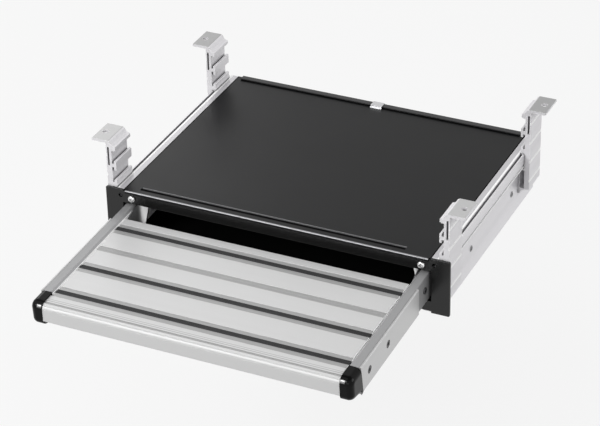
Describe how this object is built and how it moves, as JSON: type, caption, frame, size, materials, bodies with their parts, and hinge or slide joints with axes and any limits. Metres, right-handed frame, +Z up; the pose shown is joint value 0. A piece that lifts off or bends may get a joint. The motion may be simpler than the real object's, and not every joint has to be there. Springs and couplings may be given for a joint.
{
  "type": "slide-out step",
  "caption": "Slide-out entry step for a caravan or motorhome: a grooved aluminium tread on two arms that slides out of a flat black housing hung from floor brackets.",
  "frame": {"origin": "middle of the four bolt holes, in the plane of the bracket tops", "axes": "+X to the right seen from in front of the step, +Y to the back (into the housing), +Z up"},
  "size_m": [0.5268, 0.596, 0.1492],
  "materials": {
    "black_paint": "satin black powder coat",
    "mill_aluminium": "bare extruded",
    "light_anodised": "clear anodised, satin",
    "grey_anodised": "grey anodised, satin",
    "bare_steel": "zinc plated",
    "bright_steel": "bright plated",
    "dark_steel": "dark plated",
    "gloss_black": "gloss black moulding",
    "black_nylon": "black nylon",
    "white_nylon": "natural nylon",
    "black_rubber": "ribbed black rubber"
  },
  "bodies": {
    "housing": {"front_plate": "black_paint", "top_cover": "black_paint", "hem_clip": "bare_steel", "side_rail_left": "mill_aluminium", "side_rail_right": "mill_aluminium", "bracket_front_left": "mill_aluminium", "bracket_front_right": "mill_aluminium", "bracket_rear_left": "mill_aluminium", "bracket_rear_right": "mill_aluminium", "floor_pan": "black_paint", "rear_cross_member": "black_paint", "guide_channel_left": "bare_steel", "guide_channel_right": "bare_steel", "stop_block_left": "black_nylon", "stop_block_right": "black_nylon", "rear_buffer_left": "black_rubber", "rear_buffer_right": "black_rubber", "stop_screws": "bright_steel", "channel_rivets": "bare_steel"},
    "step": {"arm_left": "grey_anodised", "arm_right": "grey_anodised", "arm_trim_left": "light_anodised", "arm_trim_right": "light_anodised", "end_cap_left": "gloss_black", "end_cap_right": "gloss_black", "stop_cheek_left": "bright_steel", "stop_cheek_right": "bright_steel", "roller_carrier_left": "bare_steel", "roller_carrier_right": "bare_steel", "roller_axle_left": "bright_steel", "roller_axle_right": "bright_steel", "deck_plank_rear": "light_anodised", "deck_plank_front": "light_anodised", "nosing": "light_anodised", "grip_strip_rear": "black_rubber", "grip_strip_middle": "black_rubber", "grip_strip_front": "black_rubber", "tie_bar": "bare_steel", "arm_screws": "dark_steel", "tie_screws": "dark_steel"},
    "left_roller": {"roller_left": "white_nylon"},
    "right_roller": {"roller_right": "white_nylon"}
  },
  "joints": [
    {"name": "step_slide", "type": "slide", "parent": "housing", "child": "step", "axis": [0, 0.9998, 0.0222], "range_m": [0, 0.215]},
    {"name": "left_roller_spin", "type": "hinge", "parent": "step", "child": "left_roller", "pos_m": [-0.211, -0.07989, -0.107], "axis": [1, 0, 0], "continuous": true},
    {"name": "right_roller_spin", "type": "hinge", "parent": "step", "child": "right_roller", "pos_m": [0.211, -0.07989, -0.107], "axis": [1, 0, 0], "continuous": true}
  ],
  "couplings": [
    {"joint": "left_roller_spin", "follows": "step_slide", "rad_per_m": 50.761},
    {"joint": "right_roller_spin", "follows": "step_slide", "rad_per_m": 50.761}
  ]
}
